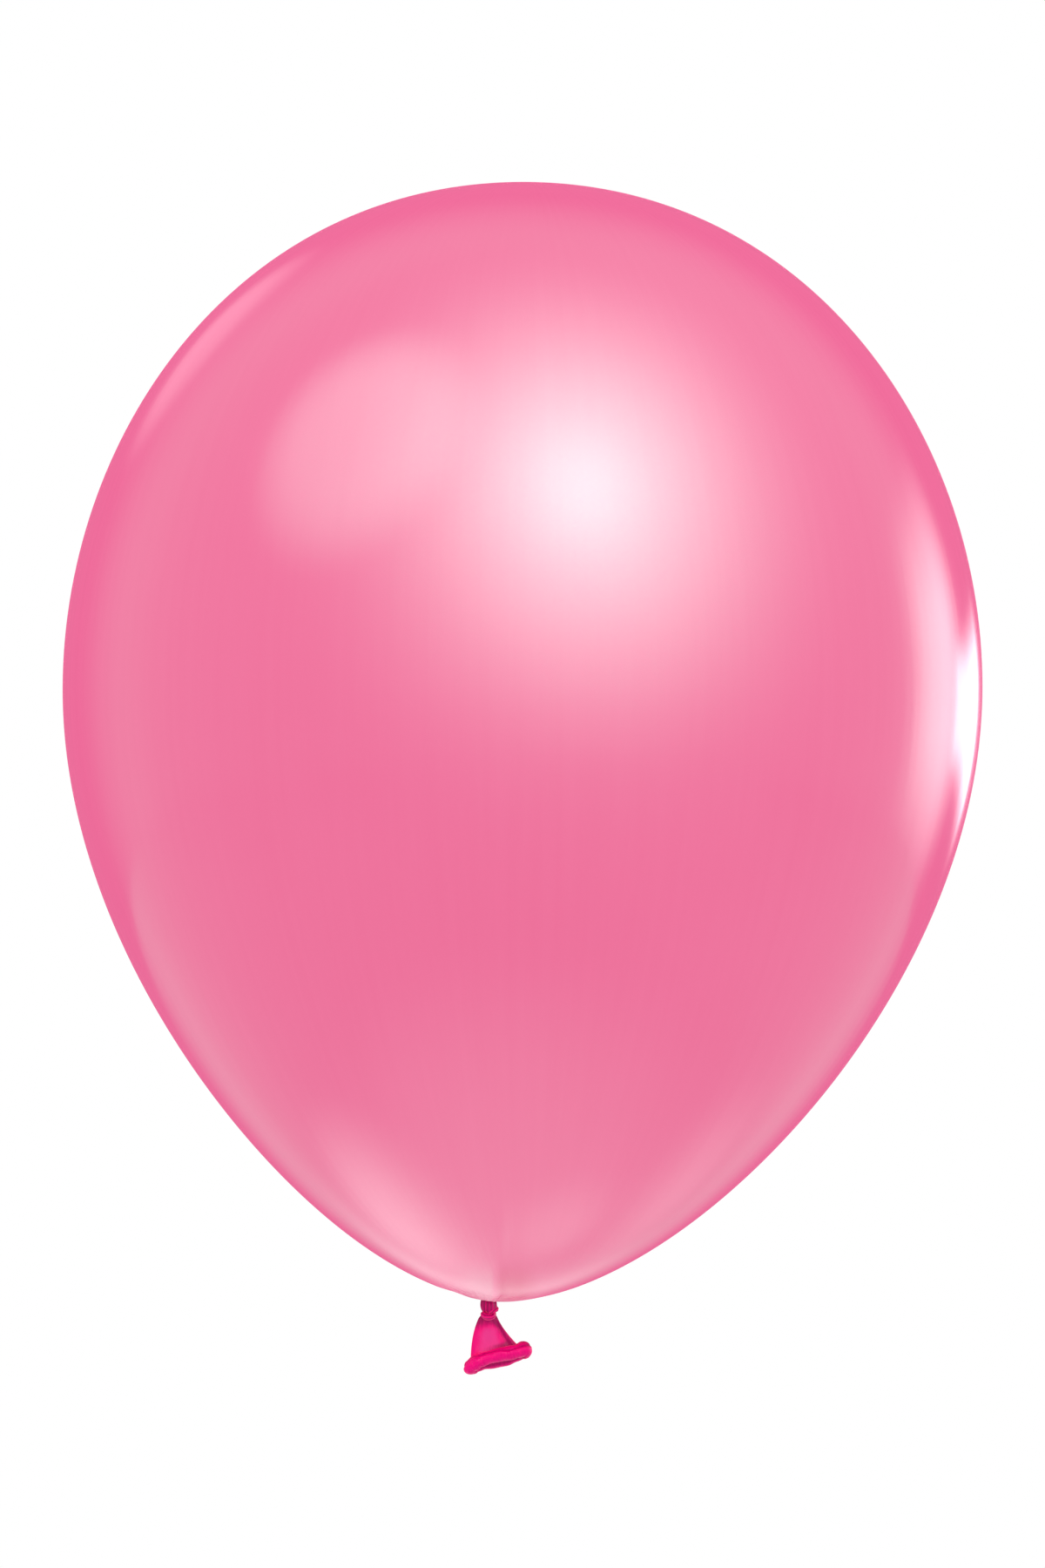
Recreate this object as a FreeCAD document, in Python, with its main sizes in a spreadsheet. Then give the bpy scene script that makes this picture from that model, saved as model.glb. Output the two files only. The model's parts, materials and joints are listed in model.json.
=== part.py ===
import FreeCAD, Part
import math
import os
import re
import Sketcher
from FreeCAD import Placement, Rotation, Vector

# A 30 cm latex party balloon, blown up and tied in its own neck.
# The origin is the tie, where the neck is pinched below the bulb. +Z runs up to the crown,
# -Y is the front, and the bulb stands a little to +X of its neck.

UP = Vector(0, 0, 1)
ORIGIN = Vector(0, 0, 0)

# Driving dimensions, in millimetres and degrees.
DIMENSIONS = [
    # the blown-up bulb, measured from its lowest point
    ("bulb_width", 300.0, "widest diameter"),
    ("bulb_height", 366.0, "lowest point to crown"),
    ("equator_height", 201.0, "lowest point to the widest circle"),
    ("tip_handle", 52.0, "how far the bottom stays flat before it turns up"),
    ("flank_handle", 102.5, "how far the side runs down from the widest circle"),
    ("shoulder_handle", 83.0, "how far the side runs up from the widest circle"),
    ("crown_handle", 93.0, "how far the crown stays flat before it turns down"),
    ("film_wall", 0.25, "wall of the bulb, thicker than the real film"),
    ("bulb_offset", 9.0, "bulb axis to the right of the neck"),
    ("bulb_drop", 2.2, "lowest point of the bulb below the tie"),
    # the gathered throat, where the film is drawn in to the neck
    ("throat_width", 17.0, "outer diameter of the gathers"),
    ("throat_wall", 0.35, "wall of the gathered film"),
    ("roll_spread", 3.8, "centre of the roll of film round the neck"),
    ("roll_bend", 1.2, "radius of that roll"),
    ("roll_start", 150.0, "angle where the film bends out of the lip into the roll"),
    ("roll_finish", 80.0, "angle where the roll runs out flat"),
    ("roll_seat", 5.6, "where the roll meets the bulb's film"),
    ("lip_angle", 70.0, "how far the throat reaches down over the neck's dome"),
    ("pleat_count", 14, "laps of film round the throat"),
    ("pleat_angle", 9.0, "width of one lap"),
    ("pleat_rise", 0.2, "how far a lap stands out"),
    ("pleat_start", 145.0, "angle on the roll where a lap begins"),
    ("pleat_finish", 65.0, "angle on the roll where a lap ends"),
    # the pinched neck
    ("ball_radius", 2.1, "domed top of the pinched neck"),
    ("flex_gap", 0.2, "clearance where the film flexes"),
    ("neck_length", 2.6, "tie to the top of the knot's strand"),
    ("waist_radius", 1.8, "narrowest place, where a ribbon is tied"),
    ("waist_drop", 1.05, "tie to that place"),
    ("furrow_count", 11, "furrows of the bunched film"),
    ("furrow_depth", 0.12, "depth of a furrow at the narrowest place"),
    ("cup_angle", 60.0, "half angle of the socket that holds the strand's top end"),
    # the overhand knot, one round strand of bunched film
    ("strand_width", 1.35, "diameter of the strand"),
    ("knot_height", 4.7, "top end to bottom end of the strand"),
    ("coil_spread", 1.86, "radius of each half's coil"),
    ("coil_shift", 0.667, "coil centre to one side of the tie line"),
    ("coil_setback", 0.203, "coil centre behind the tie line"),
    ("coil_dip", 1.283, "how far a coil passes the middle"),
    ("coil_rise", 0.413, "where the strand leaves its coil"),
    ("coil_start", 134.0, "angle where a coil begins"),
    ("coil_end", 364.0, "angle where a coil ends"),
    ("knot_turn", 55.0, "how the knot is turned about the tie line"),
    # the tail of the neck below the knot
    ("socket_angle", 45.0, "half angle of the socket for the strand's bottom end"),
    ("tail_length", 12.5, "bottom of the strand to the rim's centre"),
    ("tail_top_width", 5.8, "gathered film below the knot"),
    ("tail_top_depth", 2.4, "the same, front to back"),
    ("tail_wall", 0.4, "wall of the slack film"),
    ("tail_gather", 1.9, "solid gather at the top of the tail"),
    ("tail_shoulder", 1.3, "how far down the gather takes to reach its full size"),
    ("tail_cap", 0.75, "the gather's flat top, as a share of its full size"),
    ("tail_flare", 0.6, "power of the way down: under 1, the tail opens out early"),
    ("tail_drift", 1.7, "power of the way down: over 1, the tail leans late"),
    ("fold_count", 11, "folds fanning out from the knot"),
    ("fold_depth", 0.17, "how far a fold stands out or in"),
    ("fold_fade", 0.7, "power of the way left: under 1, the folds last long"),
    # the rolled rim round the flattened mouth
    ("rim_width", 17.9, "centre line of the roll, end to end"),
    ("rim_depth", 5.0, "centre line of the roll, front to back"),
    ("bead_radius", 2.0, "radius of the roll"),
    ("rim_shift", 2.6, "rim centre to the right of the tie"),
    ("rim_tilt", 14.0, "left end of the rim hangs lower"),
    ("rim_pitch", 22.0, "mouth turned towards the front"),
]

# Sizes that follow from the ones above, as formulas of the sheet. The tip's values are those of the
# bulb's lower curve where it passes over the tie: its share of the curve, its height above the lowest
# point, its slope and its bend. The roll's height makes it run out onto the bulb's film.
DERIVED = [
    ("tip_rough", "=bulb_offset / (3 * tip_handle)"),
    ("tip_share", "=tip_rough * (1 - tip_rough * (bulb_width / 2 - 2 * tip_handle) / tip_handle)"),
    ("tip_corner", "=equator_height - flank_handle"),
    ("tip_rise", "=3 * tip_share^2 * (1 - tip_share) * tip_corner + tip_share^3 * equator_height"),
    ("tip_run", "=3 * (1 - tip_share)^2 * tip_handle"
                " + 6 * (1 - tip_share) * tip_share * (bulb_width / 2 - tip_handle)"),
    ("tip_climb", "=6 * (1 - tip_share) * tip_share * tip_corner + 3 * tip_share^2 * flank_handle"),
    ("tip_slope", "=atan(tip_climb / tip_run)"),
    ("tip_bend", "=6 * tip_corner / tip_run^2"),
    ("seat_height", "=(tip_rise - bulb_drop) * cos(tip_slope) + tip_bend * roll_seat^2 / 2"),
    ("seat_slope", "=atan(tip_bend * roll_seat)"),
    ("roll_lift", "=seat_height + roll_bend * sin(roll_finish)"
                  " - (roll_seat - roll_spread - roll_bend * cos(roll_finish)) * tan(seat_slope)"),
    ("cup_radius", "=strand_width / 2 + flex_gap"),
    ("lip_radius", "=ball_radius + flex_gap"),
    ("knot_middle", "=-neck_length - knot_height / 2"),
    ("tail_pivot", "=-neck_length - knot_height"),
]

doc = FreeCAD.newDocument("latex_balloon")
sheet = doc.addObject("Spreadsheet::Sheet", "sizes")
draft = doc.addObject("Spreadsheet::Sheet", "draft")


def fill_sheet():
    """Writes the dimensions into the sheet, one row each, under an alias."""
    rows = [(name, repr(value), note) for name, value, note in DIMENSIONS]
    rows += [(name, formula, "follows") for name, formula in DERIVED]
    for row, (name, text, note) in enumerate(rows, start=1):
        sheet.set(f"A{row}", name)
        sheet.setAlias(f"B{row}", name)
        sheet.set(f"B{row}", text)
        sheet.set(f"C{row}", note)
    doc.recompute()


def size(name):
    """A dimension's value, read from the sheet."""
    value = sheet.get(name)
    return float(getattr(value, "Value", value))


def cells(formula):
    """A formula whose words with an underscore are cells of the sheet."""
    return re.sub(r"[a-z]+(_[a-z]+)+", r"sizes.\g<0>", formula)


def worth(formula):
    """What a formula comes to now, worked out by a spare sheet."""
    draft.set("A1", f"={cells(formula)}")
    draft.recompute()
    value = draft.get("A1")
    return float(getattr(value, "Value", value))


def bind(target, path, formula):
    target.setExpression(path, cells(formula))


# ---------------------------------------------------------------- sketches whose points follow formulas


def origin_plane(body, role):
    return [f for f in body.Origin.OriginFeatures if f.Role == role][0]


def new_sketch(body, name, role):
    """A sketch on one of the body's own origin planes."""
    sketch = body.newObject("Sketcher::SketchObject", name)
    sketch.AttachmentSupport = [(origin_plane(body, role), "")]
    sketch.MapMode = "FlatFace"
    return sketch


def point(spot):
    return Vector(worth(spot[0]), worth(spot[1]), 0)


def hold(sketch, curve, end, spot, ways=("DistanceX", "DistanceY")):
    """Ties one point of a curve to its place across and up."""
    for way, formula in zip(("DistanceX", "DistanceY"), spot):
        if way in ways:
            index = sketch.addConstraint(
                Sketcher.Constraint(way, -1, 1, curve, end, worth(formula)))
            bind(sketch, f"Constraints[{index}]", formula)


def draw_line(sketch, start, end):
    curve = sketch.addGeometry(Part.LineSegment(point(start), point(end)))
    hold(sketch, curve, 1, start)
    hold(sketch, curve, 2, end)


def draw_spline(sketch, poles):
    """A cubic curve that leaves its first point towards the second and ends at the fourth."""
    spline = Part.BSplineCurve()
    spline.buildFromPolesMultsKnots([point(p) for p in poles], [4, 4], [0, 1], False, 3)
    curve = sketch.addGeometry(spline)
    sketch.exposeInternalGeometry(curve)
    for index, pole in enumerate(poles, start=1):
        hold(sketch, curve + index, 3, pole)


def draw_arc(sketch, centre, start, end):
    """An arc about a centre, anticlockwise from one point to another."""
    middle = point(centre)
    first = point(start) - middle
    last = point(end) - middle
    angles = [math.atan2(v.y, v.x) for v in (first, last)]
    if angles[1] < angles[0]:
        angles[1] += 2 * math.pi
    circle = Part.Circle(middle, UP, first.Length)
    curve = sketch.addGeometry(Part.ArcOfCircle(circle, *angles))
    steep = abs(last.y) > abs(last.x)
    hold(sketch, curve, 3, centre)
    hold(sketch, curve, 1, start)
    hold(sketch, curve, 2, end, ways=("DistanceX",) if steep else ("DistanceY",))


def draw_circle(sketch, centre, radius):
    curve = sketch.addGeometry(Part.Circle(point(centre), UP, worth(radius)))
    hold(sketch, curve, 3, centre)
    index = sketch.addConstraint(Sketcher.Constraint("Radius", curve, worth(radius)))
    bind(sketch, f"Constraints[{index}]", radius)


def spin(body, sketch, name, angle=360):
    """Turns a sketch about its own upright axis."""
    turned = body.newObject("PartDesign::Revolution", name)
    turned.Profile = sketch
    turned.ReferenceAxis = (sketch, ["V_Axis"])
    turned.Angle = angle
    return turned


def repeat(body, feature, name, count):
    """Repeats a feature round the body's upright axis."""
    pattern = body.newObject("PartDesign::PolarPattern", name)
    pattern.Originals = [feature]
    axis = [f for f in body.Origin.OriginFeatures if f.Role == "Z_Axis"][0]
    pattern.Axis = (axis, [""])
    pattern.Angle = 360
    bind(pattern, "Occurrences", count)
    body.Tip = pattern
    return pattern


# ---------------------------------------------------------------- bulb and throat


def make_bulb_film():
    """The whole bulb as a thin shell: two cubic curves outside, the same less the wall inside."""
    body = doc.addObject("PartDesign::Body", "bulb_film")
    sketch = new_sketch(body, "bulb_profile", "XZ_Plane")
    for wall in ("0", "film_wall"):
        side = f"bulb_width / 2 - {wall}"
        top = f"bulb_height - {wall}"
        ease = f"{wall} / 2"
        lower = [("0", wall),
                 (f"tip_handle - {ease}", wall),
                 (side, f"equator_height - flank_handle + {ease}"),
                 (side, "equator_height")]
        upper = [(side, "equator_height"),
                 (side, f"equator_height + shoulder_handle - {ease}"),
                 (f"crown_handle - {ease}", top),
                 ("0", top)]
        draw_spline(sketch, lower)
        draw_spline(sketch, upper)
    draw_line(sketch, ("0", "0"), ("0", "film_wall"))
    draw_line(sketch, ("0", "bulb_height - film_wall"), ("0", "bulb_height"))
    doc.recompute()
    spin(body, sketch, "bulb_turned")
    bind(body, "Placement.Base.x", "bulb_offset")
    bind(body, "Placement.Base.z", "-bulb_drop")
    return body


def make_drum(name, radius):
    """An upright cylinder through the bottom of the bulb, about the neck."""
    drum = doc.addObject("Part::Cylinder", name)
    bind(drum, "Radius", radius)
    bind(drum, "Height", "4 * bulb_drop + 2 * throat_width")
    bind(drum, "Placement.Base.z", "-2 * bulb_drop - throat_width")
    return drum


def make_envelope(bulb, drum):
    """The bulb with a round hole where the gathered throat starts."""
    cut = doc.addObject("Part::Cut", "envelope")
    cut.Base = bulb
    cut.Tool = drum
    return cut


def make_throat_film():
    """The film that rolls in round the neck and closes over its dome, with laps all round."""
    body = doc.addObject("PartDesign::Body", "throat_film")
    sketch = new_sketch(body, "throat_profile", "XZ_Plane")
    outer = "(lip_radius + throat_wall)"
    inner_bend = "(roll_bend - throat_wall)"
    lip = ("lip_radius * sin(lip_angle)", "lip_radius * cos(lip_angle)")
    lip_top = (f"{outer} * sin(lip_angle)", f"{outer} * cos(lip_angle)")
    centre = ("roll_spread", "roll_lift")

    def on_roll(bend, angle):
        return (f"roll_spread + {bend} * cos({angle})", f"roll_lift - {bend} * sin({angle})")

    def at_seat(start):
        return ("roll_seat", f"{start[1]} + (roll_seat - ({start[0]})) * tan(seat_slope)")

    shown = [on_roll("roll_bend", "roll_start"), on_roll("roll_bend", "roll_finish")]
    hidden = [on_roll(inner_bend, "roll_start"), on_roll(inner_bend, "roll_finish")]
    draw_arc(sketch, ("0", "0"), lip, ("0", "lip_radius"))
    draw_line(sketch, lip, shown[0])
    draw_arc(sketch, centre, shown[0], shown[1])
    draw_line(sketch, shown[1], at_seat(shown[1]))
    draw_line(sketch, at_seat(shown[1]), at_seat(hidden[1]))
    draw_line(sketch, at_seat(hidden[1]), hidden[1])
    draw_arc(sketch, centre, hidden[0], hidden[1])
    draw_line(sketch, hidden[0], lip_top)
    draw_arc(sketch, ("0", "0"), lip_top, ("0", outer))
    draw_line(sketch, ("0", "lip_radius"), ("0", outer))
    doc.recompute()
    spin(body, sketch, "throat_turned")
    lap = new_sketch(body, "lap_profile", "XZ_Plane")
    lap_bend = "(roll_bend + pleat_rise)"
    inside = "(roll_bend - throat_wall / 2)"
    start, finish = "pleat_start", "pleat_finish"
    draw_arc(lap, centre, on_roll(lap_bend, start), on_roll(lap_bend, finish))
    draw_arc(lap, centre, on_roll(inside, start), on_roll(inside, finish))
    draw_line(lap, on_roll(lap_bend, start), on_roll(inside, start))
    draw_line(lap, on_roll(lap_bend, finish), on_roll(inside, finish))
    doc.recompute()
    turned = spin(body, lap, "lap")
    bind(turned, "Angle", "pleat_angle")
    doc.recompute()
    repeat(body, turned, "laps", "pleat_count")
    body.Placement = Placement(ORIGIN, Rotation(Vector(0, 1, 0), 1))
    bind(body, "Placement.Rotation.Angle", "tip_slope")
    return body


def make_throat_pleats(bulb, drum, film):
    """The gathered throat: the bulb's own film inside the hole, and the roll that it runs into."""
    hole = make_drum("seat_hole", "roll_seat - throat_wall")
    ring = doc.addObject("Part::Cut", "throat_drum")
    ring.Base = drum
    ring.Tool = hole
    skin = doc.addObject("Part::Common", "throat_skin")
    skin.Base = bulb
    skin.Tool = ring
    fuse = doc.addObject("Part::Fuse", "throat_pleats")
    fuse.Base = skin
    fuse.Tool = film
    return fuse


# ---------------------------------------------------------------- neck and knot


def make_neck_waist():
    """The pinched neck: a dome inside the throat, furrowed sides, and a socket for the strand."""
    body = doc.addObject("PartDesign::Body", "neck_waist")
    sketch = new_sketch(body, "neck_profile", "XZ_Plane")
    foot = "-neck_length + cup_radius * cos(cup_angle)"
    mouth = ("cup_radius * sin(cup_angle)", foot)
    roof = ("0", "-neck_length + cup_radius")
    side = ("ball_radius", "0")
    waist = ("waist_radius", "-waist_drop")
    ankle = ("(ball_radius + waist_radius) / 2", foot)
    draw_arc(sketch, ("0", "0"), side, ("0", "ball_radius"))
    draw_spline(sketch, [side, ("ball_radius", "-waist_drop / 2"),
                         ("waist_radius", "-waist_drop / 2"), waist])
    draw_spline(sketch, [waist, ("waist_radius", f"(-waist_drop + {foot}) / 2"),
                         (ankle[0], f"(-waist_drop + {foot}) / 2"), ankle])
    draw_line(sketch, ankle, mouth)
    draw_arc(sketch, ("0", "-neck_length"), mouth, roof)
    draw_line(sketch, roof, ("0", "ball_radius"))
    doc.recompute()
    spin(body, sketch, "neck_turned")
    furrow = new_sketch(body, "furrow_profile", "XY_Plane")
    draw_circle(furrow, ("ball_radius", "0"), "ball_radius - waist_radius + furrow_depth")
    doc.recompute()
    pocket = body.newObject("PartDesign::Pocket", "furrow")
    pocket.Profile = furrow
    pocket.Reversed = False
    bind(pocket, "Length", "neck_length")
    doc.recompute()
    repeat(body, pocket, "furrows", "furrow_count")
    return body


def rounded_path(points):
    """Straight runs joined by tangent arcs, each as large as its two runs allow."""
    edges, radii = [], []
    start = points[0]
    for before, corner, after in zip(points, points[1:], points[2:]):
        back = before - corner
        ahead = after - corner
        turn = math.pi - back.getAngle(ahead)
        reach = 0.45 * min(back.Length, ahead.Length)
        back.normalize()
        ahead.normalize()
        radius = reach / math.tan(turn / 2)
        inward = back + ahead
        inward.normalize()
        middle = corner + inward * (radius / math.cos(turn / 2) - radius)
        first = corner + back * reach
        last = corner + ahead * reach
        edges.append(Part.LineSegment(start, first).toShape())
        edges.append(Part.Arc(first, middle, last).toShape())
        radii.append(radius)
        start = last
    edges.append(Part.LineSegment(start, points[-1]).toShape())
    return Part.Wire(edges), radii


def knot_route():
    """The strand's corners, from its bottom end to its top end.

    An overhand knot is the same upside down: each half is a coil about an upright line, and the
    second half is the first turned over, so that each strand's end leaves through the other's coil.
    """
    steps = 6
    half = []
    for step in range(steps + 1):
        share = step / steps
        angle = math.radians(size("coil_start") + share * (size("coil_end") - size("coil_start")))
        dip = -size("coil_dip") * math.sin(math.pi * share ** 0.9) * (1 - share ** 6)
        half.append(Vector(size("coil_spread") * math.cos(angle) - size("coil_shift"),
                           size("coil_spread") * math.sin(angle) - size("coil_setback"),
                           dip + size("coil_rise") * share ** 6))
    half.append(Vector(0, 0, size("knot_height") / 2))
    turned = [Vector(-p.x, p.y, -p.z) for p in half]
    return turned[::-1] + half


def make_knot():
    """One round strand swept along the overhand knot, with a domed end to each joint."""
    radius = size("strand_width") / 2
    route = knot_route()
    path, radii = rounded_path(route)
    profile = Part.Wire(Part.Circle(route[0], route[1] - route[0], radius).toShape())
    strand = path.makePipeShell([profile], True, False)
    ends = [Part.makeSphere(radius, end) for end in (route[0], route[-1])]
    knot = doc.addObject("Part::Feature", "knot")
    knot.Shape = strand.fuse(ends)
    bind(knot, "Placement.Base.z", "knot_middle")
    knot.Placement = Placement(ORIGIN, Rotation(UP, size("knot_turn")))
    section = math.pi * radius ** 2
    share = strand.Volume / (section * path.Length)
    print(f"knot: length {path.Length:.1f}, smallest bend {min(radii):.2f}, "
          f"volume over section x length {share:.4f}")
    return knot


# ---------------------------------------------------------------- tail and rim


def flat_outline(half_width, half_depth, fold):
    """A flattened tube's outline in its own plane: an oval with folds."""
    count = int(size("fold_count"))
    points = []
    for step in range(6 * count):
        angle = 2 * math.pi * step / (6 * count)
        lift = fold * math.cos(count * angle)
        points.append(Vector((half_width + lift) * math.cos(angle),
                             (half_depth + lift) * math.sin(angle), 0))
    return points


def rim_placement():
    turn = Rotation(Vector(0, 1, 0), -size("rim_tilt")) * Rotation(Vector(1, 0, 0), -size("rim_pitch"))
    return Placement(Vector(size("rim_shift"), 0, size("tail_pivot") - size("tail_length")), turn)


def tail_section(share, wall):
    """The tail's outline at a share of the way from the knot (0) to the rim (1).

    It is rounded over its shoulders, opens out quickly and then slowly, and turns into the rim's plane.
    """
    top = size("cup_radius") * math.cos(math.radians(size("socket_angle")))
    fall = (size("tail_length") - top) * share
    cap = size("tail_cap")
    rounding = cap + (1 - cap) * math.sin(math.pi / 2 * min(1.0, fall / size("tail_shoulder")))
    spread = share ** size("tail_flare")
    width, depth = [
        rounding * (size(f"tail_top_{way}") * (1 - spread)
                    + (size(f"rim_{way}") + size("tail_wall")) * spread)
        for way in ("width", "depth")]
    fold = size("fold_depth") * max(0.0, 1 - share) ** size("fold_fade")
    turn = Rotation(Vector(0, 1, 0), -size("rim_tilt") * share ** 2)
    turn = turn * Rotation(Vector(1, 0, 0), -size("rim_pitch") * share ** 2)
    centre = Vector(size("rim_shift") * share ** size("tail_drift"), 0, size("tail_pivot") - top - fall)
    place = Placement(centre, turn)
    outline = [place.multVec(p) for p in flat_outline(width / 2 - wall, depth / 2 - wall, fold)]
    curve = Part.BSplineCurve()
    curve.interpolate(Points=outline, PeriodicFlag=True)
    return Part.Wire(curve.toShape())


def make_mouth_rim():
    """The rolled rim: a bead swept round the flattened mouth."""
    body = doc.addObject("PartDesign::Body", "mouth_rim")
    spine = new_sketch(body, "mouth_line", "XY_Plane")
    end = "(rim_width - rim_depth) / 2"
    side = "rim_depth / 2"
    draw_line(spine, (f"-{end}", f"-{side}"), (end, f"-{side}"))
    draw_arc(spine, (end, "0"), (end, f"-{side}"), (end, side))
    draw_line(spine, (end, side), (f"-{end}", side))
    draw_arc(spine, (f"-{end}", "0"), (f"-{end}", side), (f"-{end}", f"-{side}"))
    bead = new_sketch(body, "bead_section", "YZ_Plane")
    draw_circle(bead, (f"-{side}", "0"), "bead_radius")
    doc.recompute()
    pipe = body.newObject("PartDesign::AdditivePipe", "bead")
    pipe.Profile = bead
    pipe.Spine = (spine, [])
    doc.recompute()
    body.Placement = rim_placement()
    return body


def make_tail(rim):
    """The slack tail: folds fan out from a solid gather under the knot down to the rolled rim."""
    shares = [0.0, 0.05, 0.11, 0.3, 0.5, 0.75, 1.0]
    start = size("tail_gather") / size("tail_length")
    outer = Part.makeLoft([tail_section(s, 0.0) for s in shares], True)
    hollow = [start + (1.1 - start) * s for s in (0.0, 0.2, 0.45, 0.7, 1.0)]
    inner = Part.makeLoft([tail_section(s, size("tail_wall")) for s in hollow], True)
    socket = Part.makeSphere(size("cup_radius"), Vector(0, 0, size("tail_pivot")))
    tail = doc.addObject("Part::Feature", "tail")
    tail.Shape = outer.cut([inner, socket, rim.Shape])
    return tail


# ---------------------------------------------------------------- checking and writing


def check(parts):
    for item in doc.Objects:
        if "Invalid" in item.State or "Error" in item.State:
            raise RuntimeError(f"{item.Name} failed: {item.State}")
    for part in parts:
        shape = part.Shape
        if shape.isNull() or not shape.isValid() or not shape.Solids:
            raise RuntimeError(f"{part.Label} has no valid solid")
        box = shape.BoundBox
        print(f"{part.Label}: {len(shape.Solids)} solid, {shape.Volume:.2f} mm3, "
              f"x {box.XMin:.2f} {box.XMax:.2f}, y {box.YMin:.2f} {box.YMax:.2f}, "
              f"z {box.ZMin:.2f} {box.ZMax:.2f}")


def write(parts):
    os.makedirs("parts", exist_ok=True)
    for part in parts:
        part.Shape.exportStep(f"parts/{part.Label}.step")


fill_sheet()
bulb_film = make_bulb_film()
throat_drum = make_drum("throat_hole", "throat_width / 2")
envelope = make_envelope(bulb_film, throat_drum)
throat_film = make_throat_film()
throat_pleats = make_throat_pleats(bulb_film, throat_drum, throat_film)
neck_waist = make_neck_waist()
knot = make_knot()
mouth_rim = make_mouth_rim()
doc.recompute()
tail = make_tail(mouth_rim)
doc.recompute()
parts = [envelope, throat_pleats, neck_waist, knot, tail, mouth_rim]
check(parts)
write(parts)
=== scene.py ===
# %% [markdown]
# # A latex party balloon, blown up and tied
#
# The object is one piece of dipped rubber film. Air has stretched most of it into a big, glossy,
# pear-shaped bulb. What was not stretched is small and deep in colour: the neck, the knot tied in it,
# and the flat tail with its rolled rim. This lesson builds each of these around a fixed model of the
# same balloon, in metres, with +Z up and the origin where the neck is pinched.

# %% Load the fixed model
import json
import math
import bmesh
import bpy
from mathutils import Matrix, Vector


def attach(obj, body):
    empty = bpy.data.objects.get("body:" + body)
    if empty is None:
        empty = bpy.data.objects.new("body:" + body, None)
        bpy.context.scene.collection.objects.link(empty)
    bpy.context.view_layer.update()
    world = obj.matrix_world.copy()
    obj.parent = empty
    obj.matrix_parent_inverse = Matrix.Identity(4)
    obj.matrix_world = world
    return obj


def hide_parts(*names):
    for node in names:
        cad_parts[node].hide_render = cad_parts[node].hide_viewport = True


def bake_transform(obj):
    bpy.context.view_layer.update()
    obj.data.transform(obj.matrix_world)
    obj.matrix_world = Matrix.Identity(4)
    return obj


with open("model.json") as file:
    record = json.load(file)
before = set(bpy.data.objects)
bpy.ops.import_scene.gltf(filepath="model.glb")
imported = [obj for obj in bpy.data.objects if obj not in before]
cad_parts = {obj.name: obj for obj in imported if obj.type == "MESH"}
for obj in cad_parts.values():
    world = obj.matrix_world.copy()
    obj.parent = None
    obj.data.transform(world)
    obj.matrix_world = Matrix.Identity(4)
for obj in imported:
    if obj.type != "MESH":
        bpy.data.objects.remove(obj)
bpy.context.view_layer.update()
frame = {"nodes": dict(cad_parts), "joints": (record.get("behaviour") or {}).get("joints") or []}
MM = 0.001
BULB_AXIS_X = 0.011
pivots = {joint["name"]: Vector(joint["pos_m"]) for joint in frame["joints"]}
KNOT_TOP = pivots["knot_swing"]
KNOT_FOOT = pivots["tail_flop"]
print("nodes:", ", ".join(sorted(frame["nodes"])))
print("knot from", round(KNOT_TOP.z / MM, 2), "to", round(KNOT_FOOT.z / MM, 2), "mm")

# %% [markdown]
# ## Small helpers for curves
#
# The real film has no straight lines. Its outline is drawn with cubic Bezier curves, each given by two
# end points and two handles, and everything that fades in or out does so along a smooth step.


# %% Curves and smooth steps
def cubic(points, share):
    """A point of a cubic Bezier curve, a share of the way from its first point to its last."""
    rest = 1 - share
    weights = (rest ** 3, 3 * rest ** 2 * share, 3 * rest * share ** 2, share ** 3)
    return sum((Vector(p) * w for p, w in zip(points, weights)), Vector((0, 0)))


def ease(value, low, high):
    """0 up to low, 1 from high on, and a smooth step in between."""
    share = min(1.0, max(0.0, (value - low) / (high - low)))
    return share * share * (3 - 2 * share)


def bell(offset, width):
    """1 in the middle, falling away on both sides."""
    return math.exp(-(offset / width) ** 2)


def turned_from(turn, degrees):
    """How many degrees a direction is away from another, between -180 and 180."""
    return (math.degrees(turn) - degrees + 180) % 360 - 180


print("half way along a smooth step:", ease(0.5, 0.0, 1.0))

# %% [markdown]
# ## Writing a finish as sums
#
# A material is a network of nodes. Wiring each node by hand is long and hard to read, so a small class
# wraps one output socket and lets Python's own signs add the Math nodes: `mask * 0.3 + 0.5` becomes two
# nodes. Every other node comes from one method, which takes the node's type, its settings, and what
# goes into its sockets.


# %% A socket that can be added and multiplied
class Flow:
    """One socket of a finish. Sums with numbers or other sockets add their Math nodes."""

    def __init__(self, finish, socket):
        self.finish = finish
        self.socket = socket

    def combine(self, operation, first, second):
        sockets = {0: first, 1: second}
        return self.finish.node("ShaderNodeMath", {"operation": operation}, sockets)

    def __add__(self, other):
        return self.combine("ADD", self, other)

    def __radd__(self, other):
        return self.combine("ADD", other, self)

    def __sub__(self, other):
        return self.combine("SUBTRACT", self, other)

    def __rsub__(self, other):
        return self.combine("SUBTRACT", other, self)

    def __mul__(self, other):
        return self.combine("MULTIPLY", self, other)

    def __rmul__(self, other):
        return self.combine("MULTIPLY", other, self)

    def __truediv__(self, other):
        return self.combine("DIVIDE", self, other)

    def __pow__(self, other):
        return self.combine("POWER", self, other)


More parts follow.
